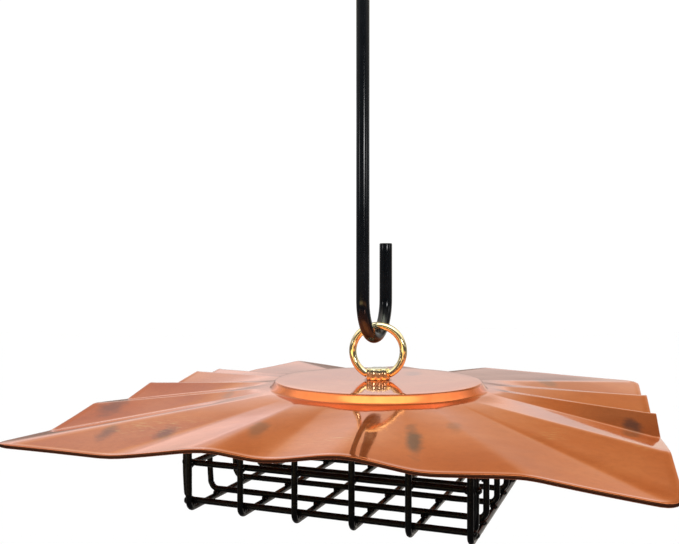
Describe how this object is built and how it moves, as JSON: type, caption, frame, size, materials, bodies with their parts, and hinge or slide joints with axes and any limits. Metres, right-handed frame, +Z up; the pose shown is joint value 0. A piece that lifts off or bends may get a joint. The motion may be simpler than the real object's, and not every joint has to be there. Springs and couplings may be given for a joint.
{
  "type": "hanging suet feeder",
  "caption": "Wire suet basket with a hinged drop-down bottom under a fluted copper roof, hung by a brass ring on a black double-hook rod.",
  "frame": {"origin": "the inner saddle of the upper hook, where the hanger rests on what holds it, on the vertical line through the middles of both hooks", "axes": "+Z up along the hanging line, +X along the basket's long side with the hinge at -X, -Y towards the front"},
  "size_m": [0.2643, 0.2613, 0.3767],
  "materials": {
    "rod_black": "semi-gloss black powder coat on a steel rod",
    "wire_black": "thick glossy black dip coat on welded wire",
    "copper_sheet": null,
    "brass": "polished brass",
    "zinc": "zinc-plated steel",
    "seal_rubber": "matt black rubber"
  },
  "bodies": {
    "hanger": {"hanger_rod": "rod_black"},
    "eye": {"eye_ring": "brass", "eye_nut": "brass"},
    "canopy": {"lid_bolt": "zinc", "clamp_washer_lower": "zinc", "clamp_washer_upper": "zinc", "lid_jam_nut": "zinc", "roof_jam_nut": "zinc", "roof_backing_washer": "zinc", "roof_seal_washer": "seal_rubber", "roof_canopy": "copper_sheet", "lid_frame": "wire_black", "lid_long_wire_0": "wire_black", "lid_long_wire_1": "wire_black", "lid_long_wire_2": "wire_black", "lid_long_wire_3": "wire_black", "lid_cross_wire_0": "wire_black", "lid_cross_wire_1": "wire_black", "lid_cross_wire_2": "wire_black", "lid_cross_wire_3": "wire_black", "lid_spring_clip": "zinc"},
    "basket": {"basket_cross_wire_0": "wire_black", "basket_cross_wire_1": "wire_black", "basket_cross_wire_2": "wire_black", "basket_cross_wire_3": "wire_black", "basket_cross_wire_4": "wire_black", "basket_cross_wire_5": "wire_black", "basket_long_wire_0": "wire_black", "basket_long_wire_1": "wire_black", "basket_long_wire_2": "wire_black", "basket_long_wire_3": "wire_black", "basket_long_wire_4": "wire_black", "basket_long_wire_5": "wire_black", "basket_mid_hoop": "wire_black", "basket_rim_hoop": "wire_black", "hinge_ring_front": "zinc", "hinge_ring_back": "zinc"}
  },
  "joints": [
    {"name": "feeder_swing", "type": "hinge", "parent": "hanger", "child": "eye", "pos_m": [0, 0, -0.29547], "axis": [0.1219, 0.9925, 0], "range_deg": [-35, 35]},
    {"name": "roof_spin", "type": "hinge", "parent": "eye", "child": "canopy", "pos_m": [0.0015, 0.0006, -0.3162], "axis": [0, 0, 1], "continuous": true},
    {"name": "basket_swing", "type": "hinge", "parent": "canopy", "child": "basket", "pos_m": [-0.066, 0.0001, -0.3317], "axis": [0, 1, 0], "range_deg": [0, 80]}
  ]
}
